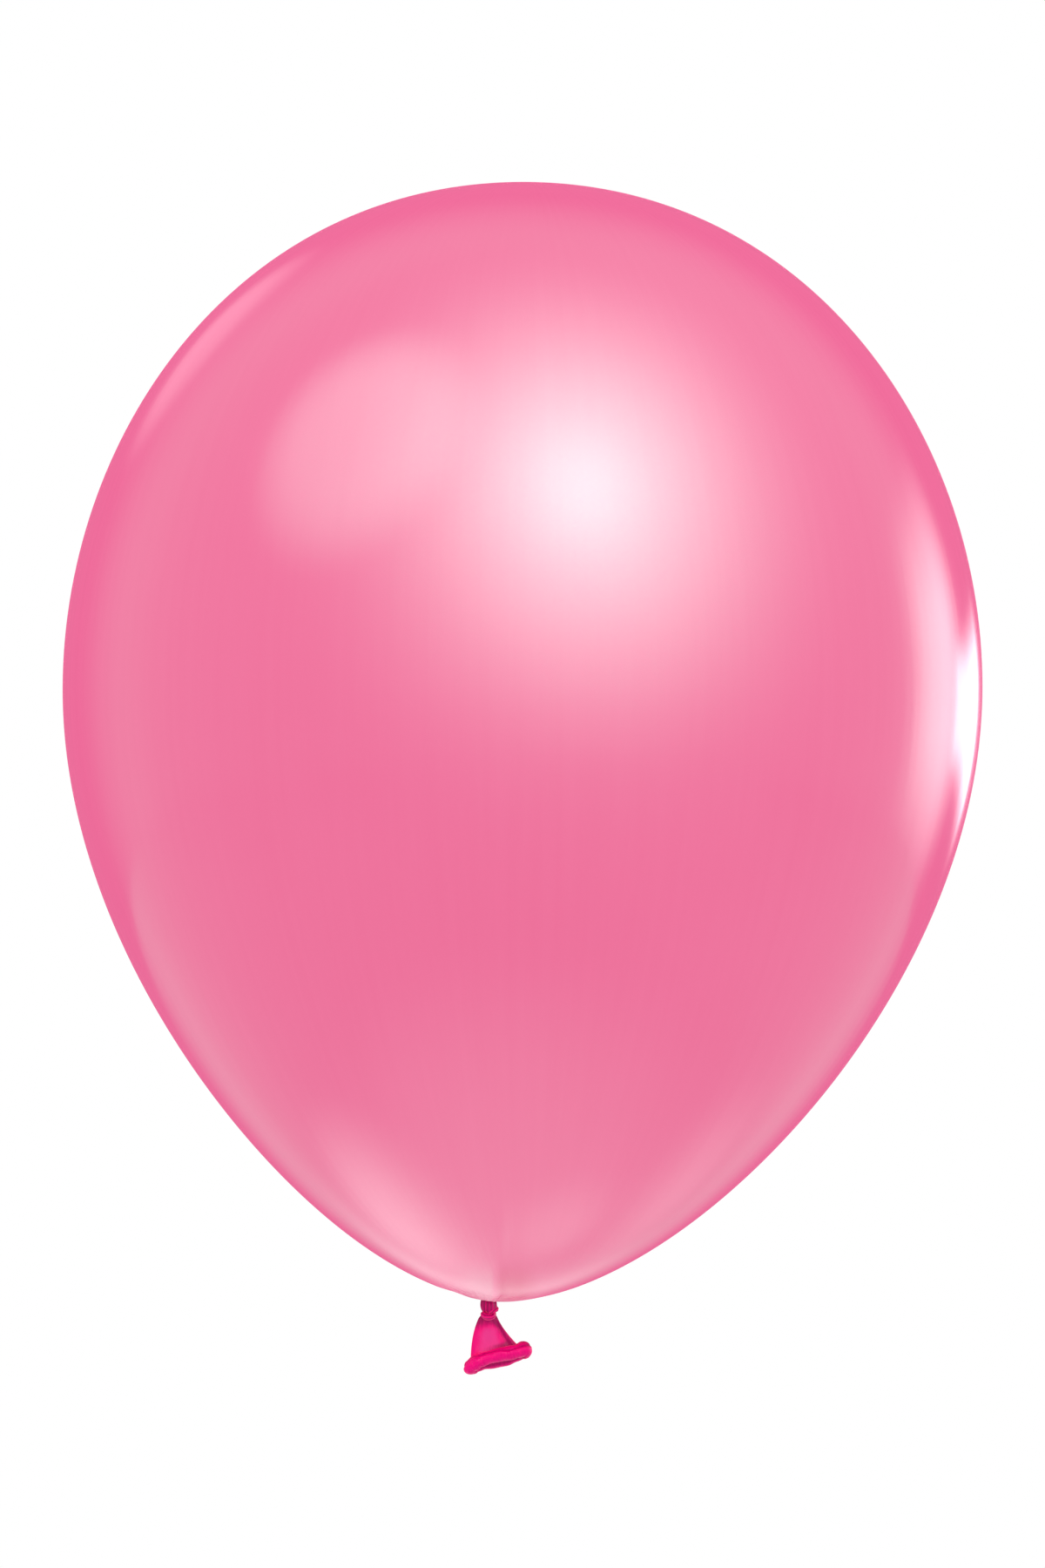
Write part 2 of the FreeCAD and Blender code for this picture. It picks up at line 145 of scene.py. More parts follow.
# %% A finish: a node tree with one method for every node
class Finish:
    """A node tree in the making. node() adds any node and returns its output."""

    def __init__(self, owner):
        self.owner = owner
        owner.use_nodes = True
        self.tree = owner.node_tree

    def node(self, kind, settings=None, sockets=None, output=0):
        made = self.tree.nodes.new(kind)
        for name, value in (settings or {}).items():
            setattr(made, name, value)
        for key, value in (sockets or {}).items():
            self.feed(made.inputs[key], value)
        return Flow(self, made.outputs[output])

    def feed(self, socket, value):
        """Links a flow to a socket, or sets the socket's own value."""
        if isinstance(value, Flow):
            self.tree.links.new(value.socket, socket)
        else:
            socket.default_value = value

    def shader(self, **named):
        """Sets or links the main shader's sockets, named with underscores for spaces."""
        main = self.tree.nodes["Principled BSDF"]
        names = {s.name.replace(" ", "_"): s for s in main.inputs}
        for name, value in named.items():
            self.feed(names[name], value)
        return Flow(self, main.outputs[0])

    def place(self, scale=(1, 1, 1)):
        """Where a point of the piece is, in metres, stretched along an axis for a pattern."""
        here = self.node("ShaderNodeTexCoord", output="Object")
        return self.node("ShaderNodeMapping", None, {"Vector": here, "Scale": scale})

    def mottle(self, where, scale, detail, roughness=0.5):
        """Soft noise from 0 to 1, averaging a half."""
        return self.node("ShaderNodeTexNoise", None, {
            "Vector": where, "Scale": scale, "Detail": detail, "Roughness": roughness})

    def tint(self, factor, first, second):
        """A colour between two colours."""
        sockets = {0: factor, 6: first, 7: second}
        return self.node("ShaderNodeMix", {"data_type": "RGBA"}, sockets, output=2)

    def between(self, value, low, high, start=0.0, finish=1.0):
        """A value spread from one range to another with a smooth step."""
        return self.node("ShaderNodeMapRange", {"interpolation_type": "SMOOTHSTEP"}, {
            "Value": value, "From Min": low, "From Max": high, "To Min": start, "To Max": finish})

    def bump(self, height, distance, strength, normal=None):
        """Small relief, added to another normal where one is given."""
        sockets = {"Height": height, "Distance": distance, "Strength": strength}
        if normal:
            sockets["Normal"] = normal
        return self.node("ShaderNodeBump", None, sockets)


print("helpers ready")

# %% [markdown]
# ## Finish 1: stretched latex
#
# Blown-up latex is a smooth, glossy skin with pearl pigment in it. Pearl flakes send back little of the
# colour that the dye shows already, so a lamp's reflection whitens the pink without making it redder: the
# shader's specular tint holds its red down. A light clear coat over it keeps the lamps' edges crisp. The
# film is thicker, and so deeper in colour, where it was stretched least: close round the neck, where it
# is also a little duller, and in a faint cap at the crown. A fold up the front has a painted highlight, a
# paler pink, on its left side, and painted shade, a deeper pink, on its right side. The dipping leaves very
# faint streaks from neck to crown.

# %% Stretched latex
PINK = (0.930, 0.150, 0.340, 1)
DEEP_PINK = (0.78, 0.024, 0.165, 1)
PAINTED_HIGHLIGHT_PINK = (0.93, 0.380, 0.510, 1)
CROWN_SPOT = Vector((0.0112, 0, 0.3638))


def stretched_latex():
    finish = Finish(bpy.data.materials.new("stretched_latex"))
    here = finish.place()
    x, y, z = [finish.node("ShaderNodeSeparateXYZ", None, {0: here}, output=i) for i in range(3)]
    from_neck = finish.node("ShaderNodeMath", {"operation": "SQRT"}, {0: x * x + y * y})
    low_down = finish.between(z, 0.002, 0.008, 1.0, 0.0)
    low_down_wide = finish.between(z, 0.010, 0.030, 1.0, 0.0)
    gathered = finish.between(from_neck, 2.2 * MM, 4.6 * MM, 1.0, 0.0) * low_down
    at_crown = finish.node("ShaderNodeVectorMath", {"operation": "DISTANCE"}, {
        0: here, 1: CROWN_SPOT}, output="Value")
    cap = finish.between(at_crown, 0.004, 0.034, 0.16, 0.0)
    turn = finish.node("ShaderNodeMath", {"operation": "ARCTAN2"}, {0: y, 1: x - BULB_AXIS_X})
    streak_place = finish.node("ShaderNodeCombineXYZ", None, {0: turn * 9.0, 1: z * 2.2, 2: 0.0})
    streaks = finish.mottle(streak_place, 4.0, 3.0)
    clouds = finish.mottle(here, 14.0, 2.0)
    flakes = finish.mottle(here, 1500.0, 1.0)
    # Painted shade: the crease's right flank is mixed towards the deeper pink.
    painted_crease_shade = finish.between(x, 0.002, 0.005) * finish.between(x, 0.009, 0.018, 1.0, 0.0)
    in_front = finish.between(y, -0.012, -0.006, 1.0, 0.0) * finish.between(z, 0.004, 0.016, 1.0, 0.0)
    # Painted highlight: the crease's left flank is mixed towards a paler pink.
    painted_crease_highlight = finish.between(x, -0.013, -0.003) * finish.between(x, 0.0005, 0.0025, 1.0, 0.0) * in_front
    # Depth of colour: thicker film near the neck and at the crown, random tone, and the painted crease
    # shade.
    depth = (gathered * 0.9 + painted_crease_shade * in_front * 0.60 + cap + (streaks - 0.5) * 0.10
             + (clouds - 0.5) * 0.10 + (flakes - 0.5) * 0.05)
    color = finish.tint(depth + 0.04, finish.tint(painted_crease_highlight * 0.55, PINK, PAINTED_HIGHLIGHT_PINK), DEEP_PINK)
    dull = finish.between(from_neck, 0.008, 0.040, 0.14, 0.0) * low_down_wide
    smooth = 0.15 + (clouds - 0.5) * 0.03 + dull
    round_neck = finish.node("ShaderNodeMath", {"operation": "ARCTAN2"}, {0: y, 1: x})
    pleat_place = finish.node("ShaderNodeCombineXYZ", None, {
        0: round_neck * 7.0, 1: from_neck * 60.0, 2: 0.0})
    pleats = finish.mottle(pleat_place, 2.0, 3.0) * finish.between(from_neck, 0.003, 0.026, 1.0, 0.0)
    skin = finish.bump(streaks, 0.0004, 0.10, finish.bump(pleats * low_down_wide, 0.0012, 0.9))
    peel = finish.bump(finish.mottle(here, 260.0, 2.0), 0.00004, 0.25, skin)
    finish.shader(Base_Color=color, Roughness=smooth, Normal=peel, Coat_Weight=0.12,
                  Coat_Roughness=0.06, Coat_IOR=1.5, IOR=1.5, Specular_IOR_Level=0.5,
                  Specular_Tint=(0.12, 1.0, 0.76, 1))
    return finish.owner


stretched = stretched_latex()
print("finish:", stretched.name, len(stretched.node_tree.nodes), "nodes")

# %% [markdown]
# ## Finish 2: slack latex
#
# Where the film was never stretched it is five to ten times as thick, so its dye is dark and it looks
# almost like soft plastic. Fine wrinkles run all over it. Each mesh carries two attributes, from 0 to 1:
# `thin` says where a single layer is pulled taut, and there the colour turns lighter, and the other says
# where shade is painted into the colour: in folds, furrows and grooves, under the knot and on undersides.

# %% Slack latex
MAGENTA = (0.94, 0.000, 0.215, 1)
SHADED_MAGENTA = (0.35, 0.000, 0.100, 1)
TAUT_PINK = (0.90, 0.045, 0.300, 1)


def slack_latex():
    finish = Finish(bpy.data.materials.new("slack_latex"))
    here = finish.place()
    thin = finish.node("ShaderNodeAttribute", {"attribute_name": "thin"}, output="Fac")
    # Painted shade: the second attribute darkens the colour where shade would fall.
    painted_shade = finish.node("ShaderNodeAttribute", {"attribute_name": "painted_shade"}, output="Fac")
    clouds = finish.mottle(here, 320.0, 3.0, 0.6)
    wrinkles = finish.mottle(finish.place((1, 1, 0.35)), 1500.0, 3.0, 0.6)
    streaks = finish.mottle(finish.place((1, 1, 0.09)), 2600.0, 2.0)
    color = finish.tint(finish.between(thin + (clouds - 0.5) * 0.5, 0.1, 0.95), MAGENTA, TAUT_PINK)
    # Painted shade: the fine streaks darken the colour like the shade of wrinkles; the clouds are random
    # tone.
    shade = painted_shade + (clouds - 0.5) * 0.3 + (streaks - 0.5) * 0.45
    color = finish.tint(finish.between(shade, 0.1, 0.95), color, SHADED_MAGENTA)
    roughness = 0.36 + (wrinkles - 0.5) * 0.18
    normal = finish.bump(wrinkles, 0.00015, 0.6)
    normal = finish.bump(streaks, 0.00025, 0.6, normal)
    normal = finish.bump(clouds, 0.0003, 0.25, normal)
    finish.shader(Base_Color=color, Roughness=roughness, Normal=normal, Coat_Weight=0.09,
                  Coat_Roughness=0.20, Coat_IOR=1.5, IOR=1.5, Specular_IOR_Level=0.06)
    return finish.owner


slack = slack_latex()
print("finish:", slack.name, len(slack.node_tree.nodes), "nodes")

# %% [markdown]
# ## From a bmesh to a piece
#
# Every skin ends the same way: its faces are turned outwards, unless it is an open sheet, and the mesh
# becomes an object at the origin with one finish. The lines after it say which of the model's solids it
# stands for, and for the bulb, the knot and the rim which body of the fixed model it moves with.


# %% Closing a skin
def finish_piece(name, skin, material, closed=True):
    """Makes an object from a bmesh, with smooth faces and one finish."""
    if closed:
        bmesh.ops.recalc_face_normals(skin, faces=skin.faces)
    for face in skin.faces:
        face.smooth = True
    mesh = bpy.data.meshes.new(name)
    skin.to_mesh(mesh)
    skin.free()
    mesh.materials.append(material)
    piece = bpy.data.objects.new(name, mesh)
    bpy.context.scene.collection.objects.link(piece)
    print(f"{name}: {len(mesh.polygons)} faces")
    return piece


# %% [markdown]
# ## The bulb
#
# The bulb could be a sphere pulled into shape, but its outline is exact only as a drawn curve. So half of
# the outline is laid down as a chain of points, from the crown round the widest place to the bottom, then
# in through the roll of film round the neck, and spun once round. The photograph shows that the bulb
# hangs a little to one side of its neck, so the spun shape is then eased sideways, and tilted where the
# film meets the neck.

# %% The bulb's half outline
BULB_WIDE = 150 * MM
WIDEST_AT = 201 * MM
BULB_TALL = 366 * MM
BULB_DROP = 2.2 * MM
LOWER_SIDE = [(0, 0), (52 * MM, 0), (BULB_WIDE, 98.5 * MM), (BULB_WIDE, WIDEST_AT)]
UPPER_SIDE = [(BULB_WIDE, WIDEST_AT), (BULB_WIDE, 284 * MM), (93 * MM, BULB_TALL), (0, BULB_TALL)]
UPPER_STEPS, LOWER_STEPS, THROAT_STEPS, ROLL_STEPS, DOME_STEPS = 70, 110, 14, 16, 8
THROAT_EDGE = 5.4 * MM
THROAT_INSIDE = 2.6 * MM
BOTTOM_BEND = 20.5
BOTTOM_LIFT = 1.0 * MM


def film_height(radius):
    """The height of the bulb's lower side at a small distance from its axis."""
    low, high = 0.0, 0.5
    for _ in range(40):
        middle = (low + high) / 2
        if cubic(LOWER_SIDE, middle).x < radius:
            low = middle
        else:
            high = middle
    return cubic(LOWER_SIDE, low).y - BULB_DROP + BOTTOM_LIFT


def bulb_outline():
    """Radius and height of each point from the crown to the closed end inside the throat."""
    line = [cubic(UPPER_SIDE, 1 - (step / UPPER_STEPS) ** 1.15) for step in range(UPPER_STEPS + 1)]
    line += [cubic(LOWER_SIDE, 1 - step / LOWER_STEPS) for step in range(1, LOWER_STEPS + 1)]
    lifts = [BOTTOM_LIFT * bell(p.x, 45 * MM) * bell(p.y, 60 * MM) for p in line]
    line = [Vector((p.x, p.y - BULB_DROP + lift)) for p, lift in zip(line, lifts)]
    line = [p for p in line if p.x > THROAT_EDGE or p.y > 0.1]
    to_throat = line[-1].x - THROAT_EDGE
    for step in range(1, THROAT_STEPS + 1):
        radius = THROAT_EDGE + to_throat * (1 - step / THROAT_STEPS)
        line.append(Vector((radius, film_height(radius))))
    edge = film_height(THROAT_EDGE)
    roll = [(THROAT_EDGE, edge), (3.6 * MM, edge - 0.10 * MM),
            (2.75 * MM, -1.5 * MM), (THROAT_INSIDE, -0.2 * MM)]
    dome = [(THROAT_INSIDE, -0.2 * MM), (THROAT_INSIDE, 1.6 * MM), (1.4 * MM, 2.5 * MM), (0, 2.5 * MM)]
    line += [cubic(roll, step / ROLL_STEPS) for step in range(1, ROLL_STEPS + 1)]
    line += [cubic(dome, step / DOME_STEPS) for step in range(1, DOME_STEPS + 1)]
    return line


print("outline points:", len(bulb_outline()))

# %% [markdown]
# The film is drawn together at the neck, so folds run out from it like the creases of a drawstring bag.
# They are not evenly spaced: each one here has its own direction, length and strength. A fold is a soft
# ridge with a steeper side, and it dies out as the film gets taut.

# %% Folds round the neck
# each fold: its direction in degrees, its length in mm, its strength
FOLDS = [(-93, 22, 0.20), (-70, 26, 0.22), (-47, 17, 0.30), (-21, 24, 0.24), (6, 15, 0.30),
         (33, 22, 0.24), (61, 16, 0.30), (88, 27, 0.22), (117, 18, 0.30), (146, 23, 0.24),
         (171, 15, 0.28), (201, 25, 0.26), (229, 17, 0.30), (250, 30, 0.20)]


def crease_lift(turn, radius):
    """One long crease up the front of the film, soft on its left and sharp on its right."""
    if math.sin(turn) > 0:
        return 0.0
    across = radius * math.cos(turn) - (1.4 - 4.3 * ease(radius, 5 * MM, 24 * MM)) * MM
    side = bell(across, 6.0 * MM if across < 0 else 1.5 * MM)
    return 0.75 * MM * side * math.exp(-radius / (48 * MM)) * ease(radius, 3 * MM, 9 * MM)


def fold_lift(turn, radius):
    """How far the folds lift the film, at a direction and a distance from the neck."""
    lift = 0.0
    for degrees, length, strength in FOLDS:
        away = turned_from(turn, degrees)
        width = 8.0 if away < 0 else 4.0
        fade = math.exp(-radius / (length * MM * 0.32)) * ease(radius, 1.0 * MM, 3.2 * MM)
        lift += strength * bell(away, width) * fade
    return lift * MM * 1.6 + crease_lift(turn, radius)


print("folds:", len(FOLDS))


# %% Spin the outline and ease it onto its neck
LEAN_AT_NECK = 6.0
LEAN_ADDED = 5.3
LOWER_PART = 150 * MM
SPIN_STEPS = 288


def settle(point):
    """Moves one point of the straight bulb to where the leaning bulb has it."""
    radius = math.hypot(point.x, point.y)
    height = point.z
    lean = (LEAN_AT_NECK + LEAN_ADDED * (1 - math.exp(-max(height, 0) / (60 * MM)))) * MM
    lower = height < LOWER_PART
    shift = ease(radius, 5 * MM, 24 * MM) if lower else 1.0
    lifted = fold_lift(math.atan2(point.y, point.x), radius) if lower and radius > 0 else 0.0
    if lower:
        raised = BOTTOM_BEND * lean ** 2 * (1 - shift ** 2) / 2
        point.z += raised - BOTTOM_BEND * lean * (1 - shift) * point.x - lifted
    point.x += lean * shift


def make_bulb():
    skin = bmesh.new()
    chain = [skin.verts.new((p.x, 0, p.y)) for p in bulb_outline()]
    for first, second in zip(chain, chain[1:]):
        skin.edges.new((first, second))
    bmesh.ops.spin(skin, geom=skin.verts[:] + skin.edges[:], cent=(0, 0, 0), axis=(0, 0, 1),
                   angle=math.tau, steps=SPIN_STEPS, use_merge=True)
    bmesh.ops.remove_doubles(skin, verts=skin.verts, dist=1e-6)
    for vert in skin.verts:
        settle(vert.co)
    return finish_piece("bulb_film", skin, stretched)


bulb = make_bulb()
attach(bulb, "bulb")
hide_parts("envelope", "throat_pleats")

# %% [markdown]
# ## Skins made ring by ring
#
# The neck, the knot, the tail and the rim are all tubes: bunched, bent, flattened or rolled. One helper
# grows such a tube. It starts from a circle, extrudes it once for each ring, and asks a function where
# every point goes. The point's own direction round the tube is kept in a layer that each extrusion
# copies, so the function needs no list of points.


# %% Grow a tube
def grow_tube(around, rings, spot, attributes, closed=False, caps=(True, True)):
    """spot(turn, share) gives the place of a point; attributes are functions of the same two."""
    skin = bmesh.new()
    turn_of = skin.verts.layers.float.new("turn")
    extra = {name: skin.verts.layers.float.new(name) for name in attributes}
    ring = bmesh.ops.create_circle(skin, segments=around, radius=1.0)["verts"]
    for index, vert in enumerate(ring):
        vert[turn_of] = math.tau * index / around

    def settle_ring(verts, share):
        for vert in verts:
            vert.co = spot(vert[turn_of], share)
            for name, layer in extra.items():
                vert[layer] = attributes[name](vert[turn_of], share)

    settle_ring(ring, 0.0)
    first_edges = skin.edges[:]
    edges = first_edges
    last = rings - 1 if closed else rings
    for step in range(1, last + 1):
        grown = bmesh.ops.extrude_edge_only(skin, edges=edges)["geom"]
        ring = [g for g in grown if isinstance(g, bmesh.types.BMVert)]
        members = set(ring)
        edges = [g for g in grown if isinstance(g, bmesh.types.BMEdge) and set(g.verts) <= members]
        settle_ring(ring, step / rings)
    if closed:
        bmesh.ops.bridge_loops(skin, edges=first_edges + edges)
    else:
        for cap, end in zip(caps, (first_edges, edges)):
            if cap:
                bmesh.ops.contextual_create(skin, geom=end)
    return skin


# %% Follow a line without twisting
def frames_along(points):
    """Each point of a line with two directions across it, which don't twist along the way."""
    ahead = [(b - a).normalized() for a, b in zip(points, points[1:])]
    ahead = [ahead[0]] + [(a + b).normalized() for a, b in zip(ahead, ahead[1:])] + [ahead[-1]]
    side = ahead[0].orthogonal().normalized()
    frames = []
    for index, way in enumerate(ahead):
        if index:
            side = ahead[index - 1].rotation_difference(way) @ side
        frames.append((points[index], side, way.cross(side)))
    return frames


# %% [markdown]
# ## The neck
#
# Between the bulb and the knot the film is bunched into a short cord, about 5 mm thick, with furrows down
# its length. It starts inside the roll of the throat, lies over the top of the knot, and is drawn in to the
# knot's strand at its foot. It crosses the joint where the knot swings.

# %% Neck
NECK_PROFILE = [(1.9 * MM, 0.6 * MM), (2.6 * MM, -1.2 * MM),
                (3.25 * MM, -4.4 * MM), (1.2 * MM, -5.2 * MM)]
FURROWS = 13


def neck_spot(turn, share):
    at = cubic(NECK_PROFILE, share)
    depth = 0.15 * MM * math.sin(math.pi * min(1, share + 0.15))
    furrow = depth * math.cos(FURROWS * turn + 0.6 * math.sin(3 * turn))
    wander = 0.08 * MM * math.sin(2 * turn + 5 * share)
    radius = at.x + furrow + wander
    return Vector((radius * math.cos(turn), radius * math.sin(turn), at.y))


# Painted shade: the neck is darkened all over, a little less towards the knot, and most in its furrows.
def neck_painted_shade(turn, share):
    return 0.80 - 0.15 * share + 0.2 * math.cos(FURROWS * turn + math.pi)


def never_thin(turn, share):
    """For the pieces that have no single taut layer."""
    return 0.0


neck_skin = grow_tube(104, 30, neck_spot, {"thin": never_thin, "painted_shade": neck_painted_shade})
neck = finish_piece("neck_film", neck_skin, slack)
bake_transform(neck)
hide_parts("neck_waist")

# %% [markdown]
# ## The knot
#
# An overhand knot is the same upside down. Each half is a coil about an upright line, and the second half
# is the first one turned over, so each end of the strand leaves through the other's coil. The line is a
# smooth spline through those points. The strand is not round wire: it is a rope of bunched film, with
# ridges that twist along it, and it swells where nothing presses on it.

# %% The knot's line
# lengths in mm, angles in degrees
COIL = {"spread": 1.68, "shift": 0.667, "setback": 0.203, "dip": 1.283, "rise": 0.413,
        "start": 134.0, "end": 364.0}
KNOT_TURN = math.radians(55)


def knot_points():
    """The strand's corners from its foot to its head, about the middle of the knot."""
    half = []
    for step in range(13):
        share = step / 12
        angle = math.radians(COIL["start"] + share * (COIL["end"] - COIL["start"]))
        dip = -COIL["dip"] * math.sin(math.pi * share ** 0.9) * (1 - share ** 6)
        half.append(Vector((COIL["spread"] * math.cos(angle) - COIL["shift"],
                            COIL["spread"] * math.sin(angle) - COIL["setback"],
                            dip + COIL["rise"] * share ** 6)) * MM)
    head = (KNOT_TOP.z - KNOT_FOOT.z) / 2
    half += [Vector((0.45 * MM, 0, head * 0.62)), Vector((0, 0, head))]
    turned = [Vector((-p.x, p.y, -p.z)) for p in half]
    middle = Vector((0, 0, (KNOT_TOP.z + KNOT_FOOT.z) / 2))
    spun = Matrix.Rotation(KNOT_TURN, 3, "Z")
    return [spun @ p + middle for p in turned[::-1] + half[1:]]


def smooth_line(points, steps):
    """Points along a smooth spline that follows the given corners."""
    curve = bpy.data.curves.new("line", "CURVE")
    curve.dimensions = "3D"
    spline = curve.splines.new("NURBS")
    spline.points.add(len(points) - 1)
    for point, corner in zip(spline.points, points):
        point.co = (*corner, 1)
    spline.order_u = 4
    spline.use_endpoint_u = True
    curve.resolution_u = steps
    holder = bpy.data.objects.new("line", curve)
    mesh = bpy.data.meshes.new_from_object(holder)
    line = [v.co.copy() for v in mesh.vertices]
    bpy.data.objects.remove(holder)
    return line


strand_line = smooth_line(knot_points(), 6)
print("strand:", len(strand_line), "points")

# %% The knot's strand
STRAND_RADIUS = 1.0 * MM
strand_frames = frames_along(strand_line)


def strand_at(share):
    """The frame of the line at a share of its length."""
    return strand_frames[min(len(strand_frames) - 1, round(share * (len(strand_frames) - 1)))]


def strand_twist(turn, share):
    """The pleats turn slowly along the strand, and not evenly."""
    return turn + 3.5 * share + 0.5 * math.sin(7 * share)


def strand_spot(turn, share):
    centre, side, other = strand_at(share)
    twist = strand_twist(turn, share)
    ridges = 0.06 * math.cos(6 * twist) + 0.05 * math.cos(3 * twist + 1.3)
    ridges += 0.03 * math.cos(11 * twist + 2)
    swell = 1.0 + 0.10 * math.sin(math.pi * share) + 0.05 * math.sin(23 * share)
    radius = STRAND_RADIUS * (swell + ridges)
    return centre + side * (radius * math.cos(turn)) + other * (radius * math.sin(turn))


# Painted shade: the strand is darkened all over, and most in the grooves between its ridges.
def strand_painted_shade(turn, share):
    return 0.45 + 0.28 * math.cos(6 * strand_twist(turn, share) + math.pi)


strand_skin = grow_tube(48, len(strand_line) - 1, strand_spot, {"thin": never_thin, "painted_shade": strand_painted_shade})
knot = finish_piece("knot_strand", strand_skin, slack)
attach(knot, "knot")
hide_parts("knot")

# %% [markdown]
# ## The tail
#
# Below the knot the unstretched neck opens out again, flat like a fan. Seen from the front its left edge
# falls almost straight and its right edge sweeps out to the end of the rim. Folds run down from the knot:
# a bright one along the left edge, a dark one down the right, whose darkness is painted shade, and a single
# taut layer between them. The tube is grown from the knot down, and turned by degrees into the plane of
# the mouth.

# %% The mouth's plane and outline
RIM_CENTRE = Vector((2.6 * MM, 0, KNOT_FOOT.z - 12.5 * MM))
MOUTH_TURN = Matrix.Rotation(math.radians(-14), 3, "Y") @ Matrix.Rotation(math.radians(-25), 3, "X")
MOUTH_HALF_WIDTH = 8.95 * MM
MOUTH_HALF_DEPTH = 1.75 * MM


def mouth_outline(turn):
    """The rim's centre line in the mouth's own plane: a flattened loop that is not quite even."""
    across = math.cos(turn)
    along = math.sin(turn)
    width = MOUTH_HALF_WIDTH * math.copysign(abs(across) ** 0.86, across)
    pinch = 1 - 0.10 * bell(across + 0.35, 0.35) + 0.04 * bell(across - 0.6, 0.3)
    depth = MOUTH_HALF_DEPTH * math.copysign(abs(along) ** 0.8, along) * pinch
    droop = -1.0 * MM * bell(turned_from(turn, 180), 38) + 0.5 * MM * bell(turned_from(turn, 0), 40)
    wave = 0.25 * MM * math.sin(3 * turn + 0.5) * abs(along)
    return Vector((width, depth, droop + wave))


def mouth_point(turn):
    return RIM_CENTRE + MOUTH_TURN @ mouth_outline(turn)


print("rim centre z", round(RIM_CENTRE.z / MM, 2))


# %% Tail
TAIL_HEAD = KNOT_FOOT.z + 1.9 * MM
TAIL_HEAD_WIDE = 2.50 * MM
TAIL_HEAD_DEEP = 1.9 * MM
FILM_WALL = 0.3 * MM


def tail_fold(turn, share):
    """How far the folds stand out, in mm: a fine fan under the knot, and a few large ones below."""
    fan = 0.26 * math.cos(11 * turn + 1.2 * math.sin(2 * turn)) * (1 - share) ** 1.5
    left = 0.45 * bell(turned_from(turn, 205 + 8 * share), 16)
    right = 0.65 * bell(turned_from(turn, -36 + 6 * share), 13)
    groove = -0.55 * bell(turned_from(turn, -60 + 8 * share), 11)
    panel = -0.25 * bell(turned_from(turn, -100), 30)
    back = 0.5 * bell(turned_from(turn, 70), 16) - 0.45 * bell(turned_from(turn, 100), 14)
    large = left + right + groove + panel + back
    return fan + large * math.sin(math.pi * min(1.0, share * 0.85 + 0.10)) ** 0.8


def tail_spot(turn, share):
    head = Vector((TAIL_HEAD_WIDE * math.cos(turn), TAIL_HEAD_DEEP * math.sin(turn), TAIL_HEAD))
    foot = mouth_point(turn)
    to_right = (1 + math.cos(turn)) / 2
    spread = (1 - to_right) * (1 - (1 - share) ** 2.7) + to_right * share ** 1.4
    gather = 0.90 + 0.10 * ease(share, 0.0, 0.07)
    point = Vector((gather * (head.x + (foot.x - head.x) * spread),
                    gather * (head.y + (foot.y - head.y) * share),
                    head.z + (foot.z - head.z) * share))
    out = Vector((math.cos(turn) * 0.5, math.sin(turn), 0))
    return point + out * (tail_fold(turn, share) * MM * ease(share, 0.0, 0.10))


def tail_thin(turn, share):
    return bell(turned_from(turn, -102), 30) * ease(share, 0.16, 0.45)


# Painted shade: the dark fold and its groove on the right, the outer left edge, the film under the knot,
# and a painted shadow in a band just above the rim at the front.
def tail_painted_shade(turn, share):
    groove = bell(turned_from(turn, -50 + 10 * share), 24) * (1 - 0.3 * share)
    outer_left = 0.6 * bell(turned_from(turn, 178), 22) * ease(share, 0.3, 0.8)
    under_knot = 0.85 * (1 - ease(share, 0.10, 0.40))
    above_rim = 0.65 * ease(share, 0.66, 0.80) * bell(turned_from(turn, -70), 40)
    return min(1.0, under_knot + 0.9 * groove + outer_left + above_rim)


tail_skin = grow_tube(160, 64, tail_spot, {"thin": tail_thin, "painted_shade": tail_painted_shade}, caps=(True, False))
tail = finish_piece("tail_film", tail_skin, slack)
wall = tail.modifiers.new("wall", "SOLIDIFY")
wall.thickness = FILM_WALL
wall.offset = -1
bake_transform(tail)
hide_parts("tail")

# %% [markdown]
# ## The rolled rim
#
# In the works the film's edge is rolled on itself into a bead, so that the neck can be gripped. A bead
# could be a plain ring, but its lap shows: a fine line where the roll ends, and small unevenness where it
# was rolled tighter. The ring of points is carried along the mouth's outline and closed on itself. Its
# inner side is flattened, because the two long sides of the mouth lie pressed together.

# %% Rim
BEAD_RADIUS = 2.43 * MM
RIM_STEPS = 260
LAP_TURN = 0.35
INSIDE_FLATTENED = 0.36


def lap_line(turn, along):
    """1 on the line where the roll ends, which wanders along the bead."""
    wander = 0.22 * math.sin(2 * along) + 0.10 * math.sin(7 * along)
    return bell(turned_from(turn, math.degrees(LAP_TURN + wander)), 10)


def rim_wrinkle(turn, along):
    """Small creases across the bead, bunched in some places and absent in others, from -1 to 1."""
    bunched = 0.35 + 0.65 * math.sin(2.5 * along + 1.0) ** 2
    uneven = 2.5 * math.sin(turn) + 3.0 * math.sin(5 * along) + 2.0 * math.sin(11 * along)
    return bunched * math.sin(57 * along + uneven)


def rim_spot(turn, share):
    along = math.tau * share
    centre = mouth_point(along)
    ahead = (mouth_point(along + 0.02) - mouth_point(along - 0.02)).normalized()
    up = MOUTH_TURN @ Vector((0, 0, 1))
    out = ahead.cross(up).normalized()
    over = out.cross(ahead)
    uneven = 1 + 0.05 * math.sin(5 * along + 1) + 0.03 * math.sin(13 * along + 2 * turn)
    uneven += 0.22 * bell(turned_from(along, 5), 34)
    radius = BEAD_RADIUS * (uneven - 0.10 * lap_line(turn, along) + 0.010 * rim_wrinkle(turn, along))
    if math.cos(turn) < 0:
        out = out * (1 - INSIDE_FLATTENED * (1 - ease(abs(math.cos(along)), 0.70, 0.96)))
    return centre + out * (radius * math.cos(turn)) + over * (radius * 0.95 * math.sin(turn))


